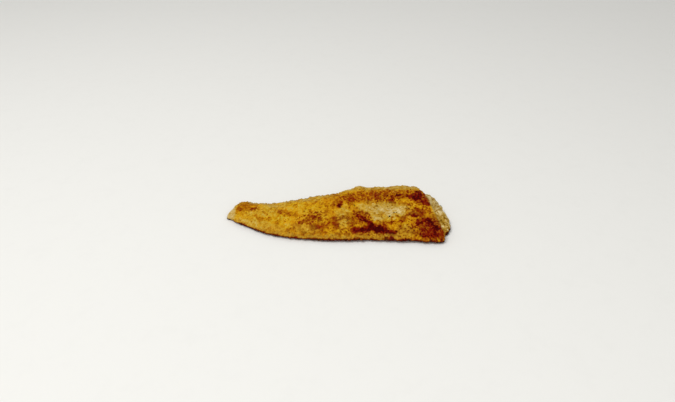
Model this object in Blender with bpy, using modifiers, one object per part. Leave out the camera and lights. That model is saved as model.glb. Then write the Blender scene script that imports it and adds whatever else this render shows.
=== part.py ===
"""A pan-fried fish fillet: one long, flat piece of fish, thick along its back and thin along its belly,
with a pale fold of flesh showing under its wide head end. Metres, +Z up, tail towards -X, belly towards -Y.
The origin is the middle of its bounding box, on the surface that the fillet lies on.
Shapes are worked out in millimetres and turned into metres where they become points."""
import math

import bmesh
import bpy
from mathutils import Vector, noise

MM = 0.001

# Driving dimensions of the cooked fillet, in millimetres
LENGTH = 233.0
WIDTH = 88.0
LOIN_HEIGHT = 19.5
BELLY_HEIGHT = 10.5
RIM_HEIGHT = 2.4
SAG = 0.9
CRUST_LUMP = 1.0
EDGE_NIBBLE = 0.9

# Sections from the tail to the head end. Each one has its place along the length from the middle, its belly
# edge and its back edge, as shares of LENGTH and WIDTH, and its heights, as shares of BELLY_HEIGHT and
# LOIN_HEIGHT.
SECTIONS = (
    (-0.485, -0.096, -0.055, 0.24, 0.13),
    (-0.472, -0.112, -0.010, 0.44, 0.24),
    (-0.450, -0.142, 0.100, 0.70, 0.42),
    (-0.420, -0.188, 0.162, 0.76, 0.49),
    (-0.365, -0.280, 0.157, 0.78, 0.53),
    (-0.300, -0.360, 0.160, 0.80, 0.58),
    (-0.215, -0.440, 0.216, 0.84, 0.64),
    (-0.085, -0.487, 0.304, 0.90, 0.77),
    (0.010, -0.491, 0.362, 0.94, 0.87),
    (0.070, -0.487, 0.443, 0.96, 0.92),
    (0.170, -0.478, 0.490, 0.98, 0.97),
    (0.300, -0.470, 0.517, 1.00, 1.00),
    (0.358, -0.474, 0.519, 1.02, 0.97),
    (0.392, -0.484, 0.480, 1.02, 0.94),
    (0.416, -0.490, 0.340, 1.00, 0.90),
    (0.438, -0.496, 0.080, 0.98, 0.83),
    (0.456, -0.490, -0.240, 0.92, 0.69),
    (0.473, -0.456, -0.405, 0.62, 0.40),
)

# The fold under the head end, along its middle line: place, half width and height above the plate, in mm
FOLD = (
    (84.0, 35.0, 6.0, 8.5),
    (94.0, 27.5, 9.5, 11.0),
    (101.5, 15.5, 11.5, 11.0),
    (106.0, 1.0, 11.0, 10.0),
    (109.0, -14.5, 10.5, 8.5),
    (111.0, -31.0, 8.5, 6.5),
)

# Broad rises and hollows of the upper face: x, y, radius along, radius across, turn in degrees, lift in mm
SWELLS = {
    "hollow that the pan missed": (52.0, -3.0, 32.0, 11.0, 3.0, -2.2),
    "ridge along the back": (46.0, 17.0, 44.0, 8.0, 6.0, 0.9),
    "ridge along the belly": (40.0, -33.0, 22.0, 5.0, -4.0, 0.9),
    "pad at the head corner": (92.0, -28.0, 13.0, 13.0, 0.0, 1.1),
    "pad at the back corner": (89.0, 15.0, 15.0, 8.0, -38.0, 1.2),
    "bump on the back edge": (24.0, 33.0, 6.0, 6.0, 0.0, 2.4),
    "second bump": (72.0, 36.0, 9.0, 7.0, 0.0, 1.2),
    "pad on the tail": (-95.0, 5.0, 13.0, 7.0, 8.0, 1.0),
    "dip behind the tail": (-62.0, 6.0, 16.0, 7.0, 0.0, -0.9),
    "dip at mid length": (6.0, -16.0, 14.0, 9.0, 20.0, -0.8),
    "crag on the fold": (112.5, 10.0, 3.0, 3.0, 0.0, 2.2),
}

SECTION_CORNERS = 64
SECTION_COUNT = 144
BELLY_SQUARENESS = 1.3
BACK_SQUARENESS = 2.5
EDGE_SQUARENESS = 2.3
REMESH_STEP = 1.6
SMOOTH_ROUNDS = 3
MOST_TRIANGLES = 11200
LUMP_SIZE = 13.0
CRAG_SIZE = 5.0
NIBBLE_SIZE = 8.0
REST_SHARE = 0.12
HOLLOW_DEPTH = 1.4
NEAR_PLATE = 0.12
CRUST_COLOUR = (0.56, 0.30, 0.05, 1.0)


def along_rows(rows, column, place):
    """The smooth value of one column of the rows, where the first column is `place`."""
    last = len(rows) - 2
    i = max((k for k in range(last + 1) if rows[k][0] <= place), default=0)
    start = rows[i]
    end = rows[i + 1]
    span = end[0] - start[0]
    share = min(max((place - start[0]) / span, 0.0), 1.0)
    before = rows[max(i - 1, 0)]
    after = rows[min(i + 2, len(rows) - 1)]
    slope_in = (end[column] - before[column]) / (end[0] - before[0]) * span
    slope_out = (after[column] - start[column]) / (after[0] - start[0]) * span
    cube = share ** 3
    square = share ** 2
    return ((2 * cube - 3 * square + 1) * start[column] + (cube - 2 * square + share) * slope_in
            + (3 * square - 2 * cube) * end[column] + (cube - square) * slope_out)


def eased(low, high, value):
    """0 below low, 1 above high, and a smooth step between them."""
    share = min(max((value - low) / (high - low), 0.0), 1.0)
    return share * share * (3 - 2 * share)


def squared(value, squareness):
    """A cosine or sine bent so that a circle becomes a rounder-cornered box."""
    return math.copysign(abs(value) ** (2 / squareness), value)


def nibble(x, side):
    """How far the edge wanders outwards at x, in mm, on the side numbered 0 or 1."""
    slow = noise.noise(Vector((x / NIBBLE_SIZE, 5.3 * side, 2.1)))
    quick = noise.noise(Vector((x / NIBBLE_SIZE * 2.6, 5.3 * side, 8.4)))
    return EDGE_NIBBLE * (1.3 * slow + 0.6 * quick)


def body_point(along, around):
    """A point of the fillet's own body in mm: `along` from -1 at the tail to 1, `around` the section."""
    first = SECTIONS[0][0]
    last = SECTIONS[-1][0]
    place = first + (last - first) * (along + 1) / 2
    x = place * LENGTH
    belly_edge = along_rows(SECTIONS, 1, place) * WIDTH - nibble(x, 0)
    back_edge = along_rows(SECTIONS, 2, place) * WIDTH + nibble(x, 1)
    belly = along_rows(SECTIONS, 3, place) * BELLY_HEIGHT
    loin = along_rows(SECTIONS, 4, place) * LOIN_HEIGHT
    across = 0.5 + 0.5 * squared(math.cos(around), EDGE_SQUARENESS)
    squareness = BELLY_SQUARENESS + (BACK_SQUARENESS - BELLY_SQUARENESS) * eased(0.05, 0.6, across)
    rise = squared(math.sin(around), squareness)
    rim = min(RIM_HEIGHT, 0.45 * loin)
    if rise >= 0:
        crown = belly + (loin - belly) * eased(0.12, 0.80, across)
        height = rim + (crown - rim) * rise
    else:
        height = rim + (rim + SAG) * rise
    return Vector((x, belly_edge + (back_edge - belly_edge) * across, height))


def fold_point(along, around):
    """A point of the fold under the head end in mm, numbered as in body_point."""
    rows = [(k, *row) for k, row in enumerate(FOLD)]
    place = (along + 1) / 2 * (len(rows) - 1)
    step = 0.05
    middle = Vector((along_rows(rows, 1, place), along_rows(rows, 2, place), 0))
    ahead = Vector((along_rows(rows, 1, place + step), along_rows(rows, 2, place + step), 0))
    behind = Vector((along_rows(rows, 1, place - step), along_rows(rows, 2, place - step), 0))
    run = (ahead - behind).normalized()
    outward = Vector((-run.y, run.x, 0))
    taper = math.sqrt(max(1 - abs(along) ** 6, 0.0))
    half_width = along_rows(rows, 3, place) * taper
    top = along_rows(rows, 4, place)
    across = squared(math.cos(around), EDGE_SQUARENESS)
    rise = squared(math.sin(around), EDGE_SQUARENESS) * taper
    if rise >= 0:
        height = RIM_HEIGHT + (top - RIM_HEIGHT) * rise
    else:
        height = RIM_HEIGHT + (RIM_HEIGHT + SAG) * rise
    return middle + outward * half_width * across + Vector((0, 0, height))


def reshaped_sphere(name, point, collection):
    """A UV sphere with its poles at the two ends, each vertex moved to where `point` puts it."""
    mesh = bpy.data.meshes.new(name)
    shape = bmesh.new()
    bmesh.ops.create_uvsphere(shape, u_segments=SECTION_CORNERS, v_segments=SECTION_COUNT, radius=1.0)
    for vertex in shape.verts:
        along = max(-1.0, min(1.0, vertex.co.z))
        around = math.atan2(vertex.co.y, vertex.co.x)
        if abs(along) > 1 - 1e-6:
            around = 0.5 * math.pi
        vertex.co = point(along, around) * MM
    bmesh.ops.recalc_face_normals(shape, faces=shape.faces[:])
    shape.to_mesh(mesh)
    shape.free()
    made = bpy.data.objects.new(name, mesh)
    collection.objects.link(made)
    return made


def settle(target):
    """Gives the object its mesh with the modifiers applied, and takes them off."""
    bpy.context.view_layer.update()
    graph = bpy.context.evaluated_depsgraph_get()
    mesh = bpy.data.meshes.new_from_object(target.evaluated_get(graph))
    target.modifiers.clear()
    target.data = mesh


def join_fold(body, fold):
    """Makes the body and its fold one even mesh of small squares."""
    union = body.modifiers.new("fold joined on", "BOOLEAN")
    union.operation = "UNION"
    union.solver = "EXACT"
    union.object = fold
    remesh = body.modifiers.new("even squares", "REMESH")
    remesh.mode = "VOXEL"
    remesh.voxel_size = REMESH_STEP * MM
    smooth = body.modifiers.new("steps worn off", "SMOOTH")
    smooth.factor = 0.5
    smooth.iterations = SMOOTH_ROUNDS
    settle(body)
    bpy.data.objects.remove(fold)


def swell_lift(x, y):
    """How far the broad rises and hollows lift the upper face at x, y, in mm."""
    lift = 0.0
    for middle_x, middle_y, long_radius, short_radius, turn, height in SWELLS.values():
        angle = math.radians(turn)
        dx = x - middle_x
        dy = y - middle_y
        u = (dx * math.cos(angle) + dy * math.sin(angle)) / long_radius
        v = (dy * math.cos(angle) - dx * math.sin(angle)) / short_radius
        lift += height * math.exp(-(u * u + v * v))
    return lift


def crust_lift(point):
    """The uneven crust at a point in mm: slow lumps, and sharper crags on top of them."""
    lumps = noise.fractal(point / LUMP_SIZE, 1.0, 2.0, 2)
    crags = abs(noise.noise(point / CRAG_SIZE + Vector((7.3, 1.9, 4.2))))
    return CRUST_LUMP * (0.75 * lumps + 0.9 * (0.28 - crags))


def carve_relief(body):
    """Moves each vertex of the upper face and the sides by the swells and the crust."""
    mesh = body.data
    normals = [vertex.normal.copy() for vertex in mesh.vertices]
    for vertex, normal in zip(mesh.vertices, normals):
        point = vertex.co / MM
        upward = eased(-0.35, 0.35, normal.z)
        crust = crust_lift(point) * (0.35 + 0.65 * upward)
        moved = point + normal * crust + Vector((0, 0, swell_lift(point.x, point.y) * upward))
        vertex.co = moved * MM


def press_on_plate(body):
    """Flattens what hangs below the plate's surface, and leaves shallow hollows in the underside."""
    for vertex in body.data.vertices:
        point = vertex.co / MM
        hollow = noise.noise(Vector((point.x, point.y, 0)) / LUMP_SIZE) - REST_SHARE
        floor = max(hollow, 0.0) * HOLLOW_DEPTH * 2
        vertex.co.z = max(point.z, floor) * MM


def thin_out(body):
    """Joins triangles where the surface is even, down to MOST_TRIANGLES, and keeps the lowest places flat."""
    count = sum(len(face.vertices) - 2 for face in body.data.polygons)
    fewer = body.modifiers.new("fewer triangles", "DECIMATE")
    fewer.ratio = min(1.0, MOST_TRIANGLES / count)
    settle(body)
    for vertex in body.data.vertices:
        if vertex.co.z < NEAR_PLATE * MM:
            vertex.co.z = 0.0


def centre_on_origin(body):
    """Puts the middle of the bounding box over the origin and the lowest points at height 0."""
    points = [vertex.co for vertex in body.data.vertices]
    middle_x = (min(p.x for p in points) + max(p.x for p in points)) / 2
    middle_y = (min(p.y for p in points) + max(p.y for p in points)) / 2
    shift = Vector((middle_x, middle_y, min(p.z for p in points)))
    for vertex in body.data.vertices:
        vertex.co -= shift


def crust_material():
    """The plain golden crust of the solid."""
    material = bpy.data.materials.new("golden crust")
    material.use_nodes = True
    shader = material.node_tree.nodes["Principled BSDF"]
    shader.inputs["Base Color"].default_value = CRUST_COLOUR
    shader.inputs["Roughness"].default_value = 0.6
    shader.inputs["Metallic"].default_value = 0.0
    return material


def build():
    for old in list(bpy.data.objects):
        bpy.data.objects.remove(old)
    collection = bpy.data.collections.new("fried fish fillet")
    bpy.context.scene.collection.children.link(collection)
    body = reshaped_sphere("fillet", body_point, collection)
    fold = reshaped_sphere("fold", fold_point, collection)
    join_fold(body, fold)
    carve_relief(body)
    press_on_plate(body)
    thin_out(body)
    centre_on_origin(body)
    body.data.materials.clear()
    body.data.materials.append(crust_material())
    body.data.shade_smooth()


build()
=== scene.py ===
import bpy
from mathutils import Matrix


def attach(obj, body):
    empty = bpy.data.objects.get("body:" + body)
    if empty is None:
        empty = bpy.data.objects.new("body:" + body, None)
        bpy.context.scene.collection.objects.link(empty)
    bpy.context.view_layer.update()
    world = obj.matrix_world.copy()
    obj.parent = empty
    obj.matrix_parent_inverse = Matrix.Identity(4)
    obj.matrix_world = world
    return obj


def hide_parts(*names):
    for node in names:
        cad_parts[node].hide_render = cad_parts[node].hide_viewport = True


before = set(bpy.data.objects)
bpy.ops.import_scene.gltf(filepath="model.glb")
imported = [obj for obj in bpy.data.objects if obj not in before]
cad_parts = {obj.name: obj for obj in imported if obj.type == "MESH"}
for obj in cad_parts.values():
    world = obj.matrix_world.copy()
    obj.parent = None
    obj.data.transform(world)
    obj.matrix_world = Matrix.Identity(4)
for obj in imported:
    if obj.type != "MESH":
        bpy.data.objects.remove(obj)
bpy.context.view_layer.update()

import math
import random

import bmesh
import bpy
import numpy as np
from mathutils import Matrix, Vector, noise

mm = 0.001
scene = bpy.context.scene


# where the camera stands, in the fillet's own frame
view = {
    "place": (0.00761, -0.45563, 0.34707),
    "right": (0.9998, 0.0208, 0.0053),
    "up": (-0.0165, 0.5835, 0.8120),
    "lens": 28.8,
    "sensor": 36.0,
}


def addCamera():
    right = Vector(view["right"]).normalized()
    up = Vector(view["up"])
    up = (up - right * up.dot(right)).normalized()
    back = right.cross(up)
    data = bpy.data.cameras.new("tableView")
    data.lens = view["lens"]
    data.sensor_width = view["sensor"]
    data.sensor_fit = "HORIZONTAL"
    data.clip_start = 0.01
    cam = bpy.data.objects.new("tableView", data)
    scene.collection.objects.link(cam)
    turn = Matrix((right, up, back)).transposed().to_4x4()
    cam.matrix_world = Matrix.Translation(view["place"]) @ turn
    scene.camera = cam


addCamera()
print("camera set")


# numbers and mesh points
def smoothStep(low, high, value):
    share = np.clip((value - low) / (high - low), 0.0, 1.0)
    return share * share * (3 - 2 * share)


def bell(middle, width, value):
    # 1 in the middle, and about a third of that one width away
    return np.exp(-((value - middle) / width) ** 2)


def noiseField(points, size, shift=0.0):
    # one smooth random value per point, points and size in mm
    scaled = points / size + np.array((shift, shift * 0.7, shift * 1.3))
    return np.array([noise.noise(p) for p in scaled.tolist()])


def puffs(points, size, shift):
    # 1 in the creases between puffed-up patches, 0 and below on top of them
    return 1.0 - 3.0 * np.abs(noiseField(points, size, shift))


def cellField(points, size, shift=0.0):
    # distance to the nearest random seed, about 0 in a cell's middle and 1 at its border
    scaled = points / size + shift
    return np.array([noise.voronoi(p)[0][0] for p in scaled.tolist()])


def pointsOf(mesh):
    flat = np.empty(len(mesh.vertices) * 3, np.float32)
    mesh.vertices.foreach_get("co", flat)
    return flat.reshape(-1, 3).astype(float)


def normalsOf(mesh):
    flat = np.empty(len(mesh.vertices) * 3, np.float32)
    mesh.vertex_normals.foreach_get("vector", flat)
    return flat.reshape(-1, 3).astype(float)


def writePoints(mesh, points):
    mesh.vertices.foreach_set("co", points.astype(np.float32).ravel())
    mesh.update()


def writeValue(mesh, name, values):
    layer = mesh.attributes.new(name, "FLOAT", "POINT")
    layer.data.foreach_set("value", values.astype(np.float32))


# the crust: its mesh, its relief and how it browned
crust = {
    "voxel": 0.65,         # mm between points of the mesh
    "rounds": 12,          # smoothing rounds that take off the flat facets
    "seamRounds": 46,      # more of them where the fold leaves the body
    "swell": 0.34,         # mm added all over, for what the smoothing takes off the edges
    "lumps": 0.62,         # mm, slow unevenness
    "crumb": 0.36,         # mm, crumbly crust
    "pebbles": 0.36,       # mm, rounded grains of flour crust
    "grit": 0.16,          # mm, finest grains
    "blisters": 0.40,      # mm, on the darkest places
    "flakes": 1.35,        # mm, flakes of the bare flesh
    "flakeTurn": -68,      # degrees, the way the fold and its flakes run
    "rimHeight": 4.1,      # mm, up to where the edge is dark: fried in the fat, and painted shade along the bottom
    "tailRimLess": 0.5,    # mm, less than that on the tail half
    "tipRimLess": 2.6,     # mm, less at the tip of the tail
    "backRimLess": 2.4,    # mm, less along the back
    "ragged": 0.9,         # mm, how far that edge frays
    "baseLevel": 0.42,     # browning where no patch says otherwise: 0 is bare flesh, 1 is charred
    "highGrains": 0.08,    # high grains brown first
    "mottle": 0.13,        # uneven browning
    "underMottle": 0.16,   # and in wide patches on the underside
    "specks": 0.14,        # darker specks on the browned places
    "wander": 2.6,         # mm that a patch's outline strays
}

# browned and pale patches: x, y, radius along, radius across in mm, turn in degrees, level, strength
# a later one lies over those before it
patches = {
    # broad fields
    "tailField": (-66, -10, 48, 30, -8, 0.26, 1.0),
    "bellyField": (-8, -34, 46, 8, -2, 0.445, 0.9),
    "backField": (36, 19, 46, 13, 3, 0.43, 0.9),
    "backOlive": (-45, 12, 40, 6, 14, 0.24, 0.9),
    # tail
    "tailBrown": (-96, 1.0, 12, 7.0, 6, 0.47, 1.0),
    "tailBrownLeft": (-103, -3, 3.0, 3.0, 0, 0.54, 0.9),
    "tailSpot": (-88.3, -4.2, 3.0, 3.4, 0, 0.74, 1.0),
    "tailRim": (-92, -21.5, 22, 3.0, -27, 0.20, 0.9),
    "tailFreckleA": (-84, -14, 3.0, 2.6, 0, 0.47, 0.8),
    "tailFreckleB": (-79, -18.5, 4.0, 2.4, 10, 0.49, 0.8),
    "tailFreckleC": (-70, -20, 4.0, 3.0, 0, 0.50, 0.8),
    "tailFreckleD": (-68, -32, 7.0, 2.4, -18, 0.44, 0.7),
    "tailLight": (-66, -2, 5.0, 9.0, 0, 0.29, 0.7),
    "orangeSpot": (-60.2, -10.6, 4.0, 4.6, 0, 0.60, 1.0),
    "orangeTrail": (-50, -12, 9.0, 4.6, -8, 0.50, 0.9),
    "paleStreak": (-53.5, -23, 3.6, 5.5, 10, 0.23, 0.9),
    "amberStreak": (-62, -24, 4.0, 4.0, 0, 0.47, 0.7),
    "bellyFreckleA": (-49, -34, 3.0, 3.4, 0, 0.52, 0.8),
    "bellyFreckleB": (-36, -38, 4.0, 2.2, 0, 0.52, 0.7),
    "bellyFreckleC": (-24, -37, 4.0, 2.2, 0, 0.50, 0.7),
    # middle
    "backStrawA": (-17, 13, 12, 7.0, 12, 0.25, 0.8),
    "backStrawB": (10, 25, 8.0, 8.0, 0, 0.26, 0.7),
    "strawA": (-34.5, -17.5, 3.0, 3.4, 0, 0.34, 0.7),
    "strawB": (-39, -27, 4.0, 3.0, 0, 0.32, 0.7),
    "strawC": (-44, -34.5, 4.0, 3.0, 0, 0.34, 0.7),
    "olivePale": (-33, -10, 4.0, 6.0, 0, 0.27, 0.8),
    "straightAmber": (-42, -15, 4.0, 5.0, 0, 0.50, 0.7),
    "speckledField": (-26, -20, 15, 9.0, 22, 0.38, 0.9),
    "speckA": (-20, -12.8, 2.2, 4.2, 10, 0.68, 0.8),
    "speckB": (-24.3, -18.6, 3.4, 2.2, 0, 0.70, 0.8),
    "speckC": (-29.5, -22.6, 3.8, 2.4, 10, 0.68, 0.8),
    "speckD": (-36, -23.8, 3.6, 2.0, 15, 0.66, 0.8),
    "speckE": (-18.6, -19, 2.4, 3.4, 0, 0.72, 0.8),
    "speckF": (-27, -27.6, 2.6, 2.0, 0, 0.68, 0.8),
    "speckG": (-27.4, -7.4, 2.2, 1.8, 0, 0.60, 0.8),
    "rustPatch": (-17, -30.8, 7.5, 3.0, 4, 0.64, 0.9),
    "lowOlive": (-34, -32, 8.0, 4.6, -8, 0.32, 0.8),
    "darkFleck": (-9.6, -25.2, 2.4, 2.0, 20, 0.78, 0.9),
    "rustColumn": (-2.4, -23.5, 3.8, 7.0, 5, 0.62, 0.9),
    "rustCore": (-1.6, -20.6, 2.0, 2.4, 0, 0.74, 0.7),
    "lowGold": (-6, -37, 8.0, 4.0, 0, 0.36, 0.8),
    "strawAbove": (-19, -9, 5.0, 4.0, 20, 0.30, 0.7),
    "goldColumn": (-12, -16, 4.6, 5.0, 0, 0.31, 0.7),
    "darkDot": (2.6, -1.0, 3.6, 4.2, 15, 0.90, 1.0),
    "aboveDot": (2.0, 6.0, 4.0, 7.0, 0, 0.49, 0.8),
    "besideDot": (8.0, -2.0, 2.6, 4.6, 0, 0.25, 0.9),
    "strawMid": (5.0, -9.0, 10, 4.4, 8, 0.20, 0.95),
    "strawLow": (7.0, -25, 4.0, 5.0, 10, 0.26, 0.9),
    "goldLow": (10, -36, 10, 4.0, 0, 0.42, 0.8),
    # brown band along the back
    "backBand": (43, 12.5, 38, 7.5, 3, 0.50, 1.0),
    "backBandLeft": (14.5, 8, 4.6, 8.0, -10, 0.68, 0.9),
    "backCoreA": (16, 16, 2.4, 3.0, 0, 0.73, 0.5),
    "backCoreB": (14.5, 5.4, 3.4, 3.4, 0, 0.73, 0.5),
    "backCoreC": (27, 11, 3.0, 3.4, 10, 0.70, 0.5),
    "backCoreD": (42, 12, 3.4, 4.4, 10, 0.73, 0.5),
    "backCoreE": (51, 14.5, 3.0, 6.0, -10, 0.72, 0.5),
    "backCoreF": (54, 6.0, 5.0, 2.4, -10, 0.66, 0.8),
    "backGapA": (21, 17, 2.6, 5.0, -15, 0.42, 0.8),
    "backGapB": (58, 17, 2.4, 6.0, 0, 0.40, 0.7),
    "backGapC": (35, 18, 2.4, 4.0, 10, 0.46, 0.6),
    "backSpotA": (64.5, 13.3, 3.4, 2.8, 15, 0.92, 1.0),
    "backSpotB": (74.6, 19.6, 1.9, 3.4, 0, 0.86, 1.0),
    "backSpotC": (54, 24, 2.4, 2.4, 0, 0.62, 0.7),
    "backStraw": (81, 26, 5.0, 7.0, 0, 0.33, 0.9),
    # upper right
    "cornerRed": (91, 8.6, 10.5, 7.0, -42, 0.74, 1.0),
    "cornerDark": (83, 12, 7.0, 5.0, -20, 0.88, 1.0),
    "cornerUp": (86, 20, 3.0, 7.0, -12, 0.82, 0.9),
    "cornerLow": (92, 2.6, 4.4, 3.4, -30, 0.86, 0.9),
    "cornerTrail": (76, 12.5, 3.4, 2.6, 0, 0.84, 0.9),
    "cornerLight": (91.5, 8.0, 2.2, 1.6, 20, 0.66, 0.8),
    "cornerEdge": (100, 7.0, 1.8, 9, 12, 0.28, 1.0),
    "goldDiagonal": (76, 3.0, 13, 3.6, -22, 0.35, 0.9),
    "rightDot": (74.6, 0.6, 2.2, 1.5, 0, 0.66, 0.9),
    "headShoulder": (84, -9.0, 9, 7, -20, 0.55, 0.95),
    "shoulderA": (81, -4.6, 2.4, 2.0, -30, 0.74, 0.9),
    "shoulderB": (78, -13, 3.6, 2.2, 0, 0.84, 1.0),
    "shoulderC": (88, -12, 3.0, 3.4, 0, 0.64, 0.7),
    "shoulderGold": (72, -9.0, 3.0, 5.0, 0, 0.36, 0.8),
    "shoulderOlive": (100, -7, 4.0, 9, 8, 0.27, 1.0),
    # pale hollow that the pan missed
    "hollow": (48, -3.0, 26, 6.6, -3, 0.175, 1.0),
    "hollowLeft": (25, -2.5, 10, 3.8, -4, 0.24, 0.9),
    "hollowBright": (61, -6.5, 9.0, 6.5, 0, 0.12, 1.0),
    "hollowArm": (40.5, -14.5, 6.5, 9.0, 0, 0.16, 1.0),
    "hollowLow": (54, -13.5, 6.0, 5.0, 0, 0.09, 0.95),
    "hollowFreckle": (44.5, -11.5, 3.4, 4.4, 0, 0.43, 0.9),
    "smudgeOver": (22, -6.0, 4.4, 2.0, 0, 0.33, 0.75),
    "hollowEdge": (68, -16.5, 4.0, 4.6, 20, 0.60, 0.9),
    "rustBelow": (64.6, -20.6, 3.6, 2.6, 10, 0.84, 1.0),
    "rustLine": (53, -23.4, 8.0, 1.8, 4, 0.60, 0.85),
    "strawBelow": (53, -19, 5.0, 2.6, 0, 0.26, 0.7),
    # dark smudge and band below the hollow
    "smudge": (25, -15.5, 10, 7.0, -40, 0.64, 0.95),
    "smudgeCore": (23, -16.3, 4.4, 3.0, -20, 0.82, 0.9),
    "smudgeTop": (30.5, -10, 3.0, 3.0, 0, 0.74, 0.9),
    "smudgeTail": (32, -23.2, 8.5, 3.0, -30, 0.88, 1.0),
    "smudgeLeft": (17, -23, 2.4, 7.0, 0, 0.64, 0.85),
    "smudgeGold": (23.5, -25.6, 4.4, 2.4, -20, 0.40, 0.9),
    "bandLeft": (22, -34, 9.5, 4.2, 6, 0.80, 1.0),
    "bandMiddle": (39, -31, 13, 5.0, 2, 1.0, 1.0),
    "bandRight": (54, -34.6, 8.0, 3.8, -20, 0.84, 1.0),
    "rimStraw": (38, -40, 14, 2.0, 0, 0.42, 0.8),
    "goldBetween": (57, -28, 6.0, 2.8, -4, 0.47, 0.9),
    "strawRight": (70, -26, 5.0, 5.0, -10, 0.35, 0.9),
    "oliveRight": (70, -34, 7.0, 5.0, 0, 0.38, 0.9),
    # head end
    "headPatch": (92, -31.5, 14, 11.5, -8, 0.77, 1.0),
    "headTop": (90, -20.5, 8.0, 4.0, -4, 0.80, 0.9),
    "headCoreA": (93, -25, 6.0, 3.2, -8, 0.97, 0.9),
    "headCoreB": (98, -32.5, 4.0, 6.5, 18, 0.99, 0.9),
    "headCoreC": (83, -24, 3.4, 3.4, 0, 0.92, 0.8),
    "headLightA": (86, -29.5, 5.0, 2.6, 10, 0.62, 0.85),
    "headLightB": (94, -36, 3.6, 2.0, 30, 0.72, 0.7),
    "headLightC": (81, -33, 3.4, 3.0, 0, 0.54, 0.8),
    "headLightD": (97, -24, 2.4, 2.0, 0, 0.72, 0.6),
    "headCorner": (103, -39, 4.0, 4.0, 0, 0.64, 0.9),
    "headEdge": (100, -18, 2.2, 6.0, 14, 0.52, 0.8),
}


# where the crust is straw and olive rather than orange:
# x, y, radius along, radius across in mm, turn in degrees, share
oliveAreas = {
    "speckled": (-26, -19, 19, 10, 22, 0.12),
    "belly": (-32, -32, 16, 6, -8, 0.40),
    "tailEdge": (-70, -28, 34, 5, -22, 0.35),
    "tailMiddle": (-78, -8, 22, 8, 0, 0.22),
    "strawMiddle": (6, -17, 8, 16, 0, 0.40),
    "underBand": (40, -39, 34, 4, 0, 0.30),
    "besideBand": (70, -32, 9, 8, 0, 0.40),
    "hollow": (50, -5, 28, 10, -4, 0.84),
    "hollowArm": (42, -14, 8, 9, 0, 0.62),
    "shoulder": (101, -4, 3.6, 14, 9, 0.60),
    "headEdge": (99, -20, 4, 10, 12, 0.30),
}


# freckles, small round dots: x, y, reach along, reach across in mm, turn, how many, level
# the pale ones only lighten, and the rest only darken
freckles = {
    "speckled": (-27, -19, 17, 8, 22, 50, 0.80),
    "speckledPale": (-28, -19, 16, 9, 22, 16, 0.30),
    "column": (-6, -24, 9, 8, 0, 24, 0.76),
    "straw": (7, -22, 6, 9, 0, 18, 0.70),
    "backBand": (40, 12, 38, 8, 3, 70, 0.84),
    "backPale": (44, 12, 38, 8, 3, 30, 0.40),
    "smudge": (25, -15, 11, 9, -40, 20, 0.84),
    "shoulder": (85, -8, 12, 9, -20, 34, 0.74),
    "headEnd": (90, -29, 14, 11, -8, 60, 0.96),
    "corner": (86, 12, 12, 8, -30, 30, 0.94),
    "tail": (-74, -14, 26, 12, -14, 70, 0.54),
    "belly": (-10, -35, 50, 6, 0, 60, 0.58),
    "backGold": (-30, 6, 40, 8, 14, 50, 0.54),
    "hollow": (48, -4, 24, 8, -4, 30, 0.40),
    "headPale": (92, -29, 13, 9, -8, 26, 0.48),
    "cornerPale": (87, 11, 9, 6, -30, 8, 0.50),
    "smudgePale": (24, -15, 9, 6, -40, 16, 0.40),
    "bandPale": (38, -26, 22, 2, 0, 16, 0.44),
    "freckleSize": (0.5, 1.2),
    "seed": 41,
}

# short seared strokes, told the same way and then the way they lean in degrees
strokes = {
    "backBand": (38, 12, 36, 7, 3, 130, 0.88, -48),
    "backBandPale": (40, 12, 36, 8, 3, 56, 0.40, -42),
    "smudge": (26, -16, 11, 7, -40, 26, 0.90, -38),
    "smudgePale": (24, -18, 10, 6, -40, 12, 0.44, -34),
    "speckled": (-27, -19, 16, 7, 22, 50, 0.85, 40),
    "speckledPale": (-26, -20, 15, 8, 22, 16, 0.32, 40),
    "shoulder": (82, -7, 11, 8, -20, 20, 0.76, -30),
    "headPale": (91, -29, 12, 8, -8, 32, 0.54, -50),
    "corner": (88, 10, 11, 6, -35, 16, 0.96, -45),
    "tail": (-60, -14, 34, 11, -10, 40, 0.46, -20),
    "hollowPale": (50, -5, 22, 6, -4, 26, 0.08, -10),
    "hollow": (46, -5, 24, 7, -4, 24, 0.40, 12),
    "underHollow": (54, -21, 14, 3, 4, 12, 0.62, 8),
    "headEnd": (95, -32, 9, 8, -8, 34, 1.0, -40),
    "headPaleLow": (90, -33, 11, 6, -8, 14, 0.50, -40),
    "freckleSize": (0.45, 0.85),
    "stretch": 1.9,
    "seed": 47,
}

# olive-brown marks in the creases of the fold, told like the freckles
foldFreckles = {
    "foldBack": (103, 10, 5, 12, 22, 20, 0.55),
    "foldMiddle": (107, -10, 6, 12, 10, 34, 0.58),
    "foldFront": (109, -27, 6, 9, 0, 20, 0.55),
    "foldPale": (106, -8, 8, 26, 12, 24, 0.12),
    "freckleSize": (0.6, 1.5),
    "seed": 43,
}


def copyOfNode(name, node):
    mesh = node.data.copy()
    mesh.materials.clear()
    shape = bmesh.new()
    shape.from_mesh(mesh)
    bmesh.ops.remove_doubles(shape, verts=shape.verts[:], dist=0.01 * mm)
    shape.to_mesh(mesh)
    shape.free()
    made = bpy.data.objects.new(name, mesh)
    scene.collection.objects.link(made)
    return made


def applyModifiers(obj):
    bpy.context.view_layer.update()
    graph = bpy.context.evaluated_depsgraph_get()
    mesh = bpy.data.meshes.new_from_object(obj.evaluated_get(graph))
    mesh.name = obj.name
    obj.modifiers.clear()
    old = obj.data
    obj.data = mesh
    bpy.data.meshes.remove(old)


def headEdgeAt(y):
    # where the crust of the body ends and the fold begins, in mm along the fillet
    places = (-45, -36, -30, -18, -7.5, 8, 20, 27)
    edges = (108.5, 106, 104.5, 101.5, 99.8, 97, 93, 88)
    return np.interp(y, places, edges)


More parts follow.
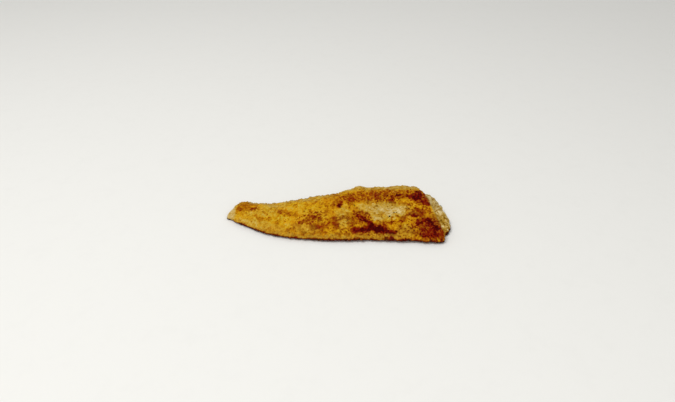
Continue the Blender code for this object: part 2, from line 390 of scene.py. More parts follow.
def seamShare(points):
    # 1 along the upper part of that edge, where the crust runs out softly
    x, y, z = points.T
    near = 1 - smoothStep(2.5, 6.5, np.abs(x - headEdgeAt(y)))
    return near * smoothStep(-34.0, -16.0, y) * smoothStep(4.0, 6.0, z)


def fineMesh(obj):
    squares = obj.modifiers.new("even squares", "REMESH")
    squares.mode = "VOXEL"
    squares.voxel_size = crust["voxel"] * mm
    soft = obj.modifiers.new("facets off", "SMOOTH")
    soft.factor = 0.5
    soft.iterations = crust["rounds"]
    applyModifiers(obj)
    seam = obj.vertex_groups.new(name="seam")
    points = pointsOf(obj.data) / mm
    share = seamShare(points)
    for k in np.flatnonzero(share > 0.02).tolist():
        seam.add([k], float(share[k]), "REPLACE")
    blend = obj.modifiers.new("fold blends in", "SMOOTH")
    blend.vertex_group = "seam"
    blend.factor = 0.5
    blend.iterations = crust["seamRounds"]
    applyModifiers(obj)
    obj.vertex_groups.clear()


def fleshMask(points):
    # 1 on the bare flesh: the fold under the head end and the cut tip of the tail
    x, y, z = points.T
    stray = 2.4 * noiseField(points, 5.0, 3.1) + 1.2 * noiseField(points, 1.8, 3.3)
    soft = 1.2 + 3.2 * smoothStep(-30.0, -12.0, y)
    fold = smoothStep(-soft, soft, x + stray - headEdgeAt(y) - 0.4)
    fold *= 1 - smoothStep(14.0, 15.5, z)
    tail = smoothStep(-1.4, 1.6, -106.4 - x + 0.8 * stray + 0.06 * (y + 5))
    return np.clip(fold + tail, 0.0, 1.0)


def ellipseReach(x, y, middleX, middleY, along, across, turn):
    # 0 in the middle of a turned ellipse, 1 on its outline
    angle = math.radians(turn)
    dx = x - middleX
    dy = y - middleY
    u = (dx * math.cos(angle) + dy * math.sin(angle)) / along
    v = (dy * math.cos(angle) - dx * math.sin(angle)) / across
    return np.sqrt(u * u + v * v)


def patchLevels(points):
    # browning of the upper face from the patches, in their order
    wander = crust["wander"]
    x = points[:, 0] + wander * (noiseField(points, 6.0, 11.0) + 0.6 * noiseField(points, 2.6, 12.0))
    y = points[:, 1] + wander * (noiseField(points, 6.0, 21.0) + 0.6 * noiseField(points, 2.6, 22.0))
    fray = 0.55 * noiseField(points, 2.0, 23.0) + 0.35 * noiseField(points, 1.1, 24.0)
    level = np.full(len(points), crust["baseLevel"])
    for middleX, middleY, along, across, turn, target, strength in patches.values():
        reach = ellipseReach(x, y, middleX, middleY, along, across, turn)
        share = strength * (1 - smoothStep(0.40, 1.35, reach + 0.45 * fray))
        level += (target - level) * share
    return level


def oliveShare(points):
    share = np.zeros(len(points))
    stray = 0.30 * noiseField(points, 5.0, 31.0) + 0.25 * noiseField(points, 2.2, 32.0)
    for middleX, middleY, along, across, turn, most in oliveAreas.values():
        reach = ellipseReach(points[:, 0], points[:, 1], middleX, middleY, along, across, turn)
        share = np.maximum(share, most * (1 - smoothStep(0.5, 1.3, reach + stray)))
    return share


def freckleLevels(points, level, marks):
    rng = random.Random(marks["seed"])
    low, high = marks["freckleSize"]
    for name, spot in marks.items():
        if name in ("freckleSize", "seed", "stretch"):
            continue
        middleX, middleY, along, across, turn, count, target, *lean = spot
        angle = math.radians(turn)
        for _ in range(count):
            reach = math.sqrt(rng.random())
            way = rng.uniform(0, 2 * math.pi)
            u = along * reach * math.cos(way)
            v = across * reach * math.sin(way)
            x = middleX + u * math.cos(angle) - v * math.sin(angle)
            y = middleY + u * math.sin(angle) + v * math.cos(angle)
            radius = rng.uniform(low, high)
            squash = rng.uniform(0.7, 1.5)
            slant = 0.0
            if lean:
                squash *= marks["stretch"]
                slant = lean[0] + rng.uniform(-22, 22)
            near = (np.abs(points[:, 0] - x) < 4) & (np.abs(points[:, 1] - y) < 4) & (points[:, 2] > 2)
            reach = ellipseReach(points[near, 0], points[near, 1], x, y, squash, 1 / squash, slant)
            share = 0.8 * (1 - smoothStep(0.4, 1.3, reach / radius))
            limit = np.minimum if "Pale" in name else np.maximum
            wanted = limit(level[near], target)
            level[near] += (wanted - level[near]) * share
    return level


def flakeField(points, turn, width, shift):
    # rounded knobs of flesh in bent rows that run along the turn, with sharp creases between
    angle = math.radians(turn)
    along = points[:, 0] * math.cos(angle) + points[:, 1] * math.sin(angle)
    across = points[:, 1] * math.cos(angle) - points[:, 0] * math.sin(angle)
    across = across + 0.6 * points[:, 2]
    bend = 3.0 * noiseField(points, 6.0, shift) + 1.6 * noiseField(points, 2.8, shift + 1)
    layers = np.abs(np.sin(math.pi * (across + bend) / width)) ** 0.6
    knobs = 1 - cellField(np.stack((along / 1.5, across, points[:, 2]), 1), 2.7, shift)
    return 0.42 * layers + 0.40 * knobs + 0.18 + 0.8 * noiseField(points, 4.2, shift + 2)


def fibreField(points, turn, shift):
    # fine fibres across the layers
    angle = math.radians(turn)
    along = points[:, 0] * math.cos(angle) + points[:, 1] * math.sin(angle)
    across = points[:, 1] * math.cos(angle) - points[:, 0] * math.sin(angle)
    return noiseField(np.stack((along, across / 3.0, points[:, 2] / 2.0), 1), 0.9, shift)


# small moves of the outline in mm: to the right, to the back and up
outline = {
    "tip": (0.0, 2.0, 0.0),          # the tip of the tail turns to the back
    "bellyTail": (0.0, -1.3, 0.0),   # the belly edge stands out a little on the tail half
    "bellyHead": (0.0, -1.1, 0.0),   # and again towards the head end
    "backBump": (0.0, 0.6, 0.9),     # a small bump on the back edge
    "tailCorner": (-0.6, 1.4, 0.8),  # the back corner of the tail
    "headCorner": (0.8, 0.8, 0.4),   # the back corner of the head end
    "foldBack": (-0.9, -0.9, -1.5),  # the back half of the fold draws in and sinks
}

# zones that brown in their own way, some with painted light or shade: level, unevenness, strength, share
# of straw and olive
zones = {
    "litHeadSlope": (0.27, 0.08, 0.60, 0.40),  # where the crust runs down to the fold, paler as painted light on a face turned from the key light
    "backFlankAndShade": (0.24, 0.06, 0.80, 0.35),  # mostly out of the pan, and greyer as painted shade on the side facing away from the light
    "backRidge": (0.20, 0.13, 0.68, 0.82),
    "bellyBandAndShade": (0.40, 0.08, 0.70, 0.70),  # a straw band just above the rim, duller olive as painted shade where the face curves down
    "underside": (0.62, 0.08, 1.00, 0.00),
    "rimAndShade": (0.74, 0.18, 1.00, 0.00),        # the edge that fried in the fat, darker still as painted shade along the bottom
}

# browning of the bare flesh
bareFlesh = {
    "level": 0.215,
    "mottle": 0.10,
    "creaseShade": 0.42,      # how much darker it is between the flakes: painted shade in the creases
    # paler on the raised knobs and fibres: painted light that follows the relief
    "knobs": 0.10,
    "fibres": 0.05,
    "frontHalf": 0.10,    # added on the front half of the fold
    # the cut tip of the tail is pale bare flesh, made paler still by painted light
    "tipLevel": 0.18,
    "tipContrast": 0.25,  # the cut tip of the tail is more even
}


def crustFields(points):
    # the random fields that the relief and the browning share
    mottle = noiseField(points, 5.0, 13.0) + 0.7 * noiseField(points, 2.6, 14.0)
    mottle = np.tanh(1.8 * (mottle + 0.25 * noiseField(points, 1.3, 19.0)))
    mottle = np.where(mottle < 0, 0.7 * mottle, mottle)
    mottle *= 1 - 0.35 * (1 - smoothStep(-60.0, -20.0, points[:, 0]))
    return {
        "mottle": mottle,
        "lumps": noiseField(points, 5.5, 1.0) + 0.5 * noiseField(points, 3.4, 1.5),
        "crumb": 1.4 * (0.5 - puffs(points, 3.0, 2.0)) + 0.8 * (0.5 - puffs(points, 1.7, 4.0)),
        "grit": noiseField(points, 0.8, 5.0),
        "pebbles": 0.55 - cellField(points, 1.35, 0.7),
        "pebbleShare": smoothStep(-0.30, 0.30, noiseField(points, 8.0, 18.0)),
        "bubbles": 1 - smoothStep(0.05, 0.60, cellField(points, 2.6, 0.4)),
        "knobs": noiseField(points, 2.6, 7.0),
        "flakes": flakeField(points, crust["flakeTurn"], 3.6, 6.0),
        "fibres": fibreField(points, crust["flakeTurn"], 26.0),
    }


def reliefLift(points, upward, level, flesh, field):
    # how far each point moves out along its normal, in mm
    dark = smoothStep(0.62, 0.85, level) * (1 - flesh)
    crustLift = crust["crumb"] * field["crumb"] + crust["grit"] * field["grit"]
    crustLift += crust["blisters"] * dark * (field["bubbles"] - 0.3)
    crustLift += crust["pebbles"] * field["pebbles"] * field["pebbleShare"]
    fleshLift = crust["flakes"] * (field["flakes"] - 0.6 + 0.25 * field["knobs"] + 0.12 * field["fibres"])
    fleshLift += 0.5 * crust["grit"] * field["grit"]
    fleshLift = np.where(points[:, 0] < -90.0, 0.35 * fleshLift, fleshLift)
    fleshLift *= 1 - 0.22 * (1 - smoothStep(-12.0, 4.0, points[:, 1]))
    lift = crust["swell"] + crust["lumps"] * field["lumps"] + crustLift * (1 - flesh) + fleshLift * flesh
    return lift * (0.35 + 0.65 * upward)


def raggedEdge(points, normals, flat):
    # the edge that it lies on frays sideways
    edge = (1 - smoothStep(0.8, 4.0, points[:, 2])) * (1 - np.abs(normals[:, 2]))
    rag = noiseField(flat, 2.6, 8.0) + 0.6 * noiseField(flat, 1.2, 9.0) - 0.25
    rag *= smoothStep(-114.0, -104.0, points[:, 0])
    return crust["ragged"] * normals[:, :2] * (edge * rag)[:, None]


def outlineMoves(points, normals, upward, flesh):
    x, y, z = points.T
    belly = smoothStep(0.1, 0.8, -normals[:, 1])
    headCorner = smoothStep(78.0, 86.0, x) * smoothStep(16.0, 22.0, y) * upward * (1 - flesh)
    foldBack = flesh * smoothStep(85.0, 95.0, x) * smoothStep(-4.0, 6.0, y)
    shares = {
        "tip": 1 - smoothStep(-115.0, -105.0, x),
        "bellyTail": belly * (1 - smoothStep(-70.0, -35.0, x)),
        "bellyHead": belly * smoothStep(40.0, 48.0, x) * (1 - smoothStep(86.0, 94.0, x)),
        "backBump": bell(24.0, 4.0, x) * smoothStep(20.0, 26.0, y) * smoothStep(3.0, 7.0, z),
        "tailCorner": bell(-101.0, 6.0, x) * smoothStep(-2.0, 6.0, y) * smoothStep(1.0, 5.0, z),
        "headCorner": headCorner * smoothStep(3.0, 7.0, z),
        "foldBack": foldBack * (1 - smoothStep(16.0, 25.0, y)) * smoothStep(1.5, 7.0, z),
    }
    return sum(np.outer(share, outline[name]) for name, share in shares.items())


def drawTo(level, olive, zone, mottle, share):
    # browning and olive share where a zone has its say
    target, uneven, strength, straw = zones[zone]
    level = level + (target + uneven * mottle - level) * strength * share
    return level, np.maximum(olive, straw * share)


def topBrowning(points, normals, level, flesh, field):
    # browning of the crust and its share of straw and olive, with painted light and shade on some slopes
    x, y, z = points.T
    mottle = field["mottle"]
    relief = 0.5 * field["crumb"] + 0.5 * field["lumps"] + 0.3 * field["pebbles"] * field["pebbleShare"]
    level = level + crust["highGrains"] * relief + crust["mottle"] * mottle
    specks = smoothStep(0.30, 0.55, noiseField(points, 1.6, 15.0)) * smoothStep(0.3, 0.5, level)
    level = level + crust["specks"] * specks
    level = freckleLevels(points, level, freckles)
    level = freckleLevels(points, level, strokes)

    # painted light: paler on the slope that faces right, away from the key light
    litSlope = smoothStep(0.15, 0.6, normals[:, 0]) * smoothStep(92.0, 98.0, x) * (1 - flesh)
    litSlope *= smoothStep(-24.0, -12.0, y)
    level, olive = drawTo(level, np.zeros(len(points)), "litHeadSlope", mottle, litSlope)
    back = smoothStep(0.25, 0.8, normals[:, 1]) * smoothStep(3.0, 7.0, z)
    level, olive = drawTo(level, olive, "backFlankAndShade", mottle, back)
    olive += 0.5 * back * (1 - smoothStep(-20.0, 10.0, x))  # painted shade: greyer near the tail
    # painted shade: faces that lean back are greyer olive on the tail half
    leaning = smoothStep(0.02, 0.25, normals[:, 1]) * (1 - back)
    olive += 0.45 * leaning * (1 - smoothStep(-15.0, 5.0, x))
    ridge = smoothStep(20.0, 30.0, y) * smoothStep(-5.0, 8.0, x) * (1 - flesh)
    level, olive = drawTo(level, olive, "backRidge", mottle, ridge)
    straw = oliveShare(points) * (1 - smoothStep(0.80, 0.95, level))
    return level, np.maximum(olive, straw)


def greyShadeShare(points, normals, flesh, mottle):
    # a grey strip along the back edge of the tail half, on the side facing away from the light: painted
    # shade over the paler flank; and a little of the same grey on the upper fold
    x, y, z = points.T
    stripWander = 7.0 * noiseField(points, 9.0, 33.0) + 4.0 * mottle
    strip = smoothStep(0.15, 0.6, normals[:, 1]) * smoothStep(-98.0, -84.0, x + stripWander)
    strip *= (1 - smoothStep(-18.0, 6.0, x + 2 * stripWander)) * (0.62 + 0.35 * mottle)
    return np.maximum(strip, 0.30 * flesh * smoothStep(-14.0, 12.0, y) * smoothStep(60.0, 90.0, x))


def fleshBrowning(points, field):
    own = bareFlesh
    # painted shade and light: darker in the creases between the flakes, paler on the raised knobs
    level = own["level"] + own["mottle"] * field["mottle"] - own["creaseShade"] * (field["flakes"] - 0.6)
    level -= own["knobs"] * field["knobs"] + own["fibres"] * field["fibres"]
    level += own["frontHalf"] * (1 - smoothStep(-18.0, 0.0, points[:, 1]))
    # painted light: the tip is paler than the rest of the bare flesh
    tipLevel = own["tipLevel"] + own["tipContrast"] * (level - own["level"])
    level = np.where(points[:, 0] < -90.0, tipLevel, level)
    return freckleLevels(points, level, foldFreckles)


def rimHeightAt(points, normals, flat, tip):
    # up to where the edge is dark, fried in the fat and painted shade, in mm
    x = points[:, 0]
    frayed = 1.2 * noiseField(flat, 5.0, 17.0) + 0.8 * noiseField(flat, 1.8, 17.5)
    height = crust["rimHeight"] + frayed * (0.5 + 0.5 * smoothStep(-20.0, 20.0, x))
    height -= crust["tailRimLess"] * (1 - smoothStep(-30.0, 0.0, x))
    back = smoothStep(-0.2, 0.5, normals[:, 1])
    return height - crust["tipRimLess"] * tip - crust["backRimLess"] * back


def shapeCrust(obj):
    mesh = obj.data
    points = pointsOf(mesh) / mm
    normals = normalsOf(mesh)
    upward = smoothStep(-0.3, 0.3, normals[:, 2])
    flat = points * np.array((1.0, 1.0, 0.35))
    flesh = fleshMask(points)
    patchLevel = patchLevels(points)
    field = crustFields(points)
    mottle = field["mottle"]

    lift = reliefLift(points, upward, patchLevel, flesh, field)
    moved = points + normals * lift[:, None]
    moved[:, :2] += raggedEdge(points, normals, flat)
    moved += outlineMoves(points, normals, upward, flesh)
    moved[:, 2] = np.maximum(moved[:, 2], 0.0)  # nothing goes below the table top
    writePoints(mesh, moved * mm)

    level, olive = topBrowning(points, normals, patchLevel, flesh, field)
    greyShade = greyShadeShare(points, normals, flesh, mottle)
    level = level * (1 - flesh) + fleshBrowning(points, field) * flesh

    # underside and rim, with painted shade along the bottom edge and the band above it
    under = 1 - smoothStep(-0.55, -0.1, normals[:, 2])
    level, olive = drawTo(level, olive, "underside", mottle, under)
    level += crust["underMottle"] * noiseField(points, 9.0, 16.0) * under
    tip = 1 - smoothStep(-112.0, -98.0, points[:, 0])
    above = points[:, 2] - rimHeightAt(points, normals, flat, tip)
    # painted shade: a duller olive band just above the rim
    band = (1 - smoothStep(1.0, 2.4, above + 1.2 * noiseField(points, 2.4, 27.0))) * (1 - under)
    band *= (1 - flesh) * (1 - smoothStep(55.0, 80.0, points[:, 0]))
    level, olive = drawTo(level, olive, "bellyBandAndShade", mottle, band)
    # the dark edge along the bottom: fried crust, and painted shade where it meets the table
    offFloor = smoothStep(0.25, 0.8, points[:, 2]) * smoothStep(-0.97, -0.80, normals[:, 2])
    toastedAndShade = (1 - smoothStep(-0.2, 0.7, above)) * offFloor
    level, olive = drawTo(level, olive, "rimAndShade", mottle, toastedAndShade)
    rimAndShade = (1 - smoothStep(-0.7, 0.3, above)) * offFloor * (1 - 0.6 * tip)

    top = (1 - under) * (1 - toastedAndShade)
    level = np.clip(level, 0.0, 1.0)
    writeValue(mesh, "brown", level)
    # bare flesh, straw and olive, and grey painted shade on the back flank
    writeValue(mesh, "flesh", np.clip(flesh + olive, 0.0, 1.0) * top)
    # painted shade: the near black line along the bottom edge
    writeValue(mesh, "rimAndShade", rimAndShade * np.clip(0.74 - 0.30 * mottle - 0.25 * field["pebbles"], 0.3, 0.95))
    # painted shade: grey strip on the back edge
    writeValue(mesh, "greyShade", np.clip(greyShade, 0.0, 0.9) * top)
    writeValue(mesh, "gritty", 0.85 + 0.65 * smoothStep(-10.0, 25.0, points[:, 0]))
    mesh.shade_smooth()
    return level


# shader groups that the materials share

def newGroup(name, inputs, outputs):
    group = bpy.data.node_groups.new(name, "ShaderNodeTree")
    for label, value in inputs:
        socket = group.interface.new_socket(name=label, in_out="INPUT", socket_type="NodeSocketFloat")
        socket.default_value = value
    for label in outputs:
        group.interface.new_socket(name=label, in_out="OUTPUT", socket_type="NodeSocketFloat")
    entry = group.nodes.new("NodeGroupInput")
    leave = group.nodes.new("NodeGroupOutput")
    return group, entry, leave


def mathNode(tree, kind, first, second=None):
    node = tree.nodes.new("ShaderNodeMath")
    node.operation = kind
    for slot, value in enumerate((first, second)):
        if value is None:
            continue
        if isinstance(value, (int, float)):
            node.inputs[slot].default_value = value
        else:
            tree.links.new(value, node.inputs[slot])
    return node.outputs[0]


def noiseNode(tree, coords, scale, detail, rough):
    node = tree.nodes.new("ShaderNodeTexNoise")
    node.inputs["Detail"].default_value = detail
    node.inputs["Roughness"].default_value = rough
    tree.links.new(coords, node.inputs["Vector"])
    if isinstance(scale, (int, float)):
        node.inputs["Scale"].default_value = scale
    else:
        tree.links.new(scale, node.inputs["Scale"])
    return node.outputs["Fac"]


def rangeNode(tree, value, toLow, toHigh, fromLow=0.0, fromHigh=1.0):
    node = tree.nodes.new("ShaderNodeMapRange")
    node.inputs["From Min"].default_value = fromLow
    node.inputs["From Max"].default_value = fromHigh
    node.inputs["To Min"].default_value = toLow
    node.inputs["To Max"].default_value = toHigh
    tree.links.new(value, node.inputs["Value"])
    return node.outputs["Result"]


def fryMottleGroup():
    # uneven browning, centred on 0
    group, entry, leave = newGroup("fryMottle", (("Scale", 500.0), ("Amount", 0.1)), ("Mottle",))
    coords = group.nodes.new("ShaderNodeTexCoord").outputs["Object"]
    coarse = noiseNode(group, coords, entry.outputs["Scale"], 3.0, 0.6)
    fineScale = mathNode(group, "MULTIPLY", entry.outputs["Scale"], 2.9)
    fine = noiseNode(group, coords, fineScale, 2.0, 0.6)
    coarseShare = mathNode(group, "MULTIPLY", coarse, 0.6)
    fineShare = mathNode(group, "MULTIPLY", fine, 0.4)
    both = mathNode(group, "ADD", coarseShare, fineShare)
    centred = mathNode(group, "MULTIPLY", mathNode(group, "SUBTRACT", both, 0.5), 4.0)
    group.links.new(mathNode(group, "MULTIPLY", centred, entry.outputs["Amount"]), leave.inputs["Mottle"])
    return group


def fineSpecksGroup():
    # scattered small specks, dark ones above 0 and light ones below
    group, entry, leave = newGroup("fineSpecks", (("Scale", 450.0), ("Amount", 0.15)), ("Specks",))
    coords = group.nodes.new("ShaderNodeTexCoord").outputs["Object"]
    grain = noiseNode(group, coords, entry.outputs["Scale"], 1.0, 0.5)
    dark = rangeNode(group, grain, 0.0, 1.0, 0.57, 0.68)
    light = rangeNode(group, grain, 0.25, 0.0, 0.32, 0.43)
    both = mathNode(group, "MULTIPLY", mathNode(group, "SUBTRACT", dark, light), entry.outputs["Amount"])
    areas = noiseNode(group, coords, mathNode(group, "MULTIPLY", entry.outputs["Scale"], 0.2), 1.0, 0.5)
    crowded = rangeNode(group, areas, 0.25, 1.6, 0.38, 0.64)
    group.links.new(mathNode(group, "MULTIPLY", both, crowded), leave.inputs["Specks"])
    return group


def crustGrainGroup():
    # fine crumb as a height, and the pores between the crumbs as a mask
    group, entry, leave = newGroup("crustGrain", (("Scale", 900.0),), ("Height", "Pores"))
    coords = group.nodes.new("ShaderNodeTexCoord").outputs["Object"]
    cells = group.nodes.new("ShaderNodeTexVoronoi")
    cells.feature = "F1"
    group.links.new(coords, cells.inputs["Vector"])
    group.links.new(entry.outputs["Scale"], cells.inputs["Scale"])
    grain = noiseNode(group, coords, mathNode(group, "MULTIPLY", entry.outputs["Scale"], 1.6), 3.0, 0.65)
    domes = mathNode(group, "SUBTRACT", 1.0, cells.outputs["Distance"])
    domeShare = mathNode(group, "MULTIPLY", domes, 0.55)
    grainShare = mathNode(group, "MULTIPLY", grain, 0.6)
    height = mathNode(group, "ADD", domeShare, grainShare)
    group.links.new(height, leave.inputs["Height"])
    group.links.new(rangeNode(group, height, 1.0, 0.0, 0.45, 0.62), leave.inputs["Pores"])
    return group


fryMottle = fryMottleGroup()
fineSpecks = fineSpecksGroup()
crustGrain = crustGrainGroup()


def placeGroup(tree, group, **values):
    node = tree.nodes.new("ShaderNodeGroup")
    node.node_tree = group
    for label, value in values.items():
        node.inputs[label.capitalize()].default_value = value
    return node


def linear(colour):
    # 0 to 255 as seen on a screen, to the light that a shader works in
    light = []
    for value in colour:
        share = value / 255
        light.append(share / 12.92 if value <= 10 else ((share + 0.055) / 1.055) ** 2.4)
    return (*light, 1.0)


# colours from bare flesh to charred crust
fryColours = (
    (0.00, (218, 200, 150)),
    (0.10, (200, 173, 106)),
    (0.20, (208, 169, 54)),
    (0.32, (208, 154, 15)),
    (0.44, (190, 124, 5)),
    (0.56, (158, 90, 1)),
    (0.68, (140, 54, 0)),
    (0.80, (122, 18, 0)),
    (0.90, (95, 5, 0)),
    (1.00, (64, 1, 0)),
)
fleshColours = (
    (0.00, (228, 206, 150)),
    (0.15, (202, 173, 106)),
    (0.30, (184, 146, 56)),
    (0.50, (150, 110, 24)),
    (1.00, (64, 32, 4)),
)


def rampNode(tree, value, stops):
    ramp = tree.nodes.new("ShaderNodeValToRGB")
    items = ramp.color_ramp.elements
    items[0].position, items[0].color = stops[0][0], linear(stops[0][1])
    items[1].position, items[1].color = stops[-1][0], linear(stops[-1][1])
    for place, colour in stops[1:-1]:
        item = items.new(place)
        item.color = linear(colour)
    tree.links.new(value, ramp.inputs["Fac"])
    return ramp.outputs["Color"]


def mixColours(tree, share, first, second, kind="MIX"):
    node = tree.nodes.new("ShaderNodeMix")
    node.data_type = "RGBA"
    node.blend_type = kind
    for socket, value in ((node.inputs[0], share), (node.inputs[6], first), (node.inputs[7], second)):
        if isinstance(value, (int, float, tuple)):
            socket.default_value = value
        else:
            tree.links.new(value, socket)
    return node.outputs[2]


def newMaterial(name):
    material = bpy.data.materials.new(name)
    material.use_nodes = True
    return material, material.node_tree, material.node_tree.nodes["Principled BSDF"]


def pointValue(tree, name):
    # a value that the mesh keeps for each point
    node = tree.nodes.new("ShaderNodeAttribute")
    node.attribute_name = name
    return node.outputs["Fac"]


def bumpFrom(tree, shader, height, strength, depth):
    bump = tree.nodes.new("ShaderNodeBump")
    bump.inputs["Strength"].default_value = strength
    bump.inputs["Distance"].default_value = depth
    tree.links.new(height, bump.inputs["Height"])
    tree.links.new(bump.outputs["Normal"], shader.inputs["Normal"])


crustFinish = {
    "mottleScale": 380.0,
    "mottle": 0.11,
    "speckScale": 430.0,
    "specks": 0.16,
    "driftScale": 75.0,              # slow drift of the colour towards olive
    "driftAmount": 0.5,
    "drift": 0.8,
    "driftColour": (240, 255, 215),
    "grainScale": 1100.0,
    "bump": 0.6,
    "bumpDepth": 0.0004,             # metres
    "oilScale": 160.0,               # oily and dry places
    "roughLow": 0.40,
    "roughHigh": 0.75,
    "gloss": 0.03,
    "poreShade": 0.78,
    # near black of the fried rim with its painted shade
    "rimAndShadeColour": (38, 19, 6),
    # grey of the painted shade along the back edge
    "greyShadeColour": (156, 140, 98),
}


def crustMaterial(name, finish):
    material, tree, shader = newMaterial(name)
    mottle = placeGroup(tree, fryMottle, scale=finish["mottleScale"], amount=finish["mottle"])
    grain = placeGroup(tree, crustGrain, scale=finish["grainScale"])
    specks = placeGroup(tree, fineSpecks, scale=finish["speckScale"], amount=finish["specks"])
    level = mathNode(tree, "ADD", pointValue(tree, "brown"), mottle.outputs["Mottle"])
    dots = mathNode(tree, "MULTIPLY", specks.outputs["Specks"], pointValue(tree, "gritty"))
    level = mathNode(tree, "ADD", level, dots)
    fried = rampNode(tree, level, fryColours)
    drift = placeGroup(tree, fryMottle, scale=finish["driftScale"], amount=finish["driftAmount"])
    olive = rangeNode(tree, drift.outputs["Mottle"], 0.0, finish["drift"], -0.15, 0.35)
    fried = mixColours(tree, olive, fried, linear(finish["driftColour"]), "MULTIPLY")
    bare = rampNode(tree, level, fleshColours)
    colour = mixColours(tree, pointValue(tree, "flesh"), fried, bare)
    # painted shade: grey along the back edge of the tail half
    colour = mixColours(tree, pointValue(tree, "greyShade"), colour, linear(finish["greyShadeColour"]))
    # painted shade: the dark rim along the bottom edge
    colour = mixColours(tree, pointValue(tree, "rimAndShade"), colour, linear(finish["rimAndShadeColour"]))
    pores = rangeNode(tree, grain.outputs["Pores"], 1.0, finish["poreShade"])
    shade = tree.nodes.new("ShaderNodeCombineColor")
    for slot in range(3):
        tree.links.new(pores, shade.inputs[slot])
    colour = mixColours(tree, 1.0, colour, shade.outputs[0], "MULTIPLY")
    tree.links.new(colour, shader.inputs["Base Color"])
    coords = tree.nodes.new("ShaderNodeTexCoord").outputs["Object"]
    oil = noiseNode(tree, coords, finish["oilScale"], 3.0, 0.6)
    rough = rangeNode(tree, oil, finish["roughLow"], finish["roughHigh"], 0.35, 0.65)
    tree.links.new(rough, shader.inputs["Roughness"])
    shader.inputs["Specular IOR Level"].default_value = finish["gloss"]
    bumpFrom(tree, shader, grain.outputs["Height"], finish["bump"], finish["bumpDepth"])
    return material


fillet = copyOfNode("filletCrust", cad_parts["fillet"])
fineMesh(fillet)
levels = shapeCrust(fillet)
fillet.data.materials.append(crustMaterial("friedCrust", crustFinish))
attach(fillet, "root")
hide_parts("fillet")
print("crust made,", len(fillet.data.vertices), "points,", len(fillet.data.polygons), "faces")


# crumbs of crust on the fillet and along its edge
crumbs = {
    "count": 900,
    "size": (0.22, 0.62),    # mm, half width
    "rimCount": 340,
    "rimSize": (0.25, 0.65),
    "sink": 0.35,            # share of a crumb that is sunk in
    "rimLevel": (0.66, 0.90),
    "rimShare": (0.6, 1.0),  # share of the dark rim colour: fried crust and painted shade
    "uneven": 0.25,          # how far a crumb's corners are pushed about
    "finish": {"mottle": 0.03, "bump": 0.2},
    "seed": 7,
}


def crumbShape(rng, roundness):
    # a rough little grain about 1 across: an icosphere with its corners pushed about
    shape = bmesh.new()
    bmesh.ops.create_icosphere(shape, subdivisions=1, radius=1.0)
    stretch = (rng.uniform(0.7, 1.4), rng.uniform(0.6, 1.1), rng.uniform(0.45, 0.9))
    points = []
    for vertex in shape.verts:
        push = 1 + rng.uniform(-roundness, roundness)
        points.append(tuple(vertex.co[k] * push * stretch[k] for k in range(3)))
    faces = [tuple(v.index for v in face.verts) for face in shape.faces]
    shape.free()
    return points, faces


def scatter(name, spots, rng, roundness):
    # spots: place, direction, size, level, share of the dark rim colour with its painted shade; all
    # grains are one mesh
    allPoints = []
    allFaces = []
    levelList = []
    rimList = []
    for place, direction, size, level, rimShare in spots:
        points, faces = crumbShape(rng, roundness)
        spin = Matrix.Rotation(rng.uniform(0, 2 * math.pi), 3, "Z")
        turn = direction.to_track_quat("Z", "Y").to_matrix() @ spin
        start = len(allPoints)
        for p in points:
            allPoints.append(place + turn @ (Vector(p) * size))
        allFaces += [tuple(start + k for k in face) for face in faces]
        levelList += [level] * len(points)
        rimList += [rimShare] * len(points)
    mesh = bpy.data.meshes.new(name)
    mesh.from_pydata(allPoints, [], allFaces)
    writeValue(mesh, "brown", np.array(levelList))
    writeValue(mesh, "flesh", np.zeros(len(levelList)))
    writeValue(mesh, "rimAndShade", np.array(rimList))
    writeValue(mesh, "greyShade", np.zeros(len(levelList)))
    writeValue(mesh, "gritty", np.ones(len(levelList)))
    mesh.shade_smooth()
    made = bpy.data.objects.new(name, mesh)
    scene.collection.objects.link(made)
    return made


def crumbSpots(rng):
    mesh = fillet.data
    points = pointsOf(mesh)
    normals = normalsOf(mesh)
    top = np.flatnonzero(normals[:, 2] > 0.35)
    rimPart = np.flatnonzero((points[:, 2] < 1.6 * mm) & (np.abs(normals[:, 2]) < 0.6))
    spots = []
    for _ in range(crumbs["count"]):
        k = int(top[rng.randrange(len(top))])
        size = rng.uniform(*crumbs["size"]) * mm
        direction = Vector(normals[k])
        place = Vector(points[k]) + direction * size * (0.5 - crumbs["sink"])
        level = min(max(levels[k] + rng.uniform(-0.10, 0.16), 0.05), 1.0)
        spots.append((place, direction, size, level, 0.0))
    for _ in range(crumbs["rimCount"]):
        k = int(rimPart[rng.randrange(len(rimPart))])
        size = rng.uniform(*crumbs["rimSize"]) * mm
        outward = Vector((normals[k][0], normals[k][1], 0)).normalized()
        place = Vector(points[k]) + outward * size * rng.uniform(-0.2, 0.5)
        place.z = max(place.z, 1.15 * size)
        level = rng.uniform(*crumbs["rimLevel"])
        spots.append((place, Vector((0, 0, 1)), size, level, rng.uniform(*crumbs["rimShare"])))
    return spots


crumbRandom = random.Random(crumbs["seed"])
crumbPiece = scatter("crustCrumbs", crumbSpots(crumbRandom), crumbRandom, crumbs["uneven"])
crumbPiece.data.materials.append(crustMaterial("friedCrumb", dict(crustFinish, **crumbs["finish"])))
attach(crumbPiece, "root")
print("crumbs made")


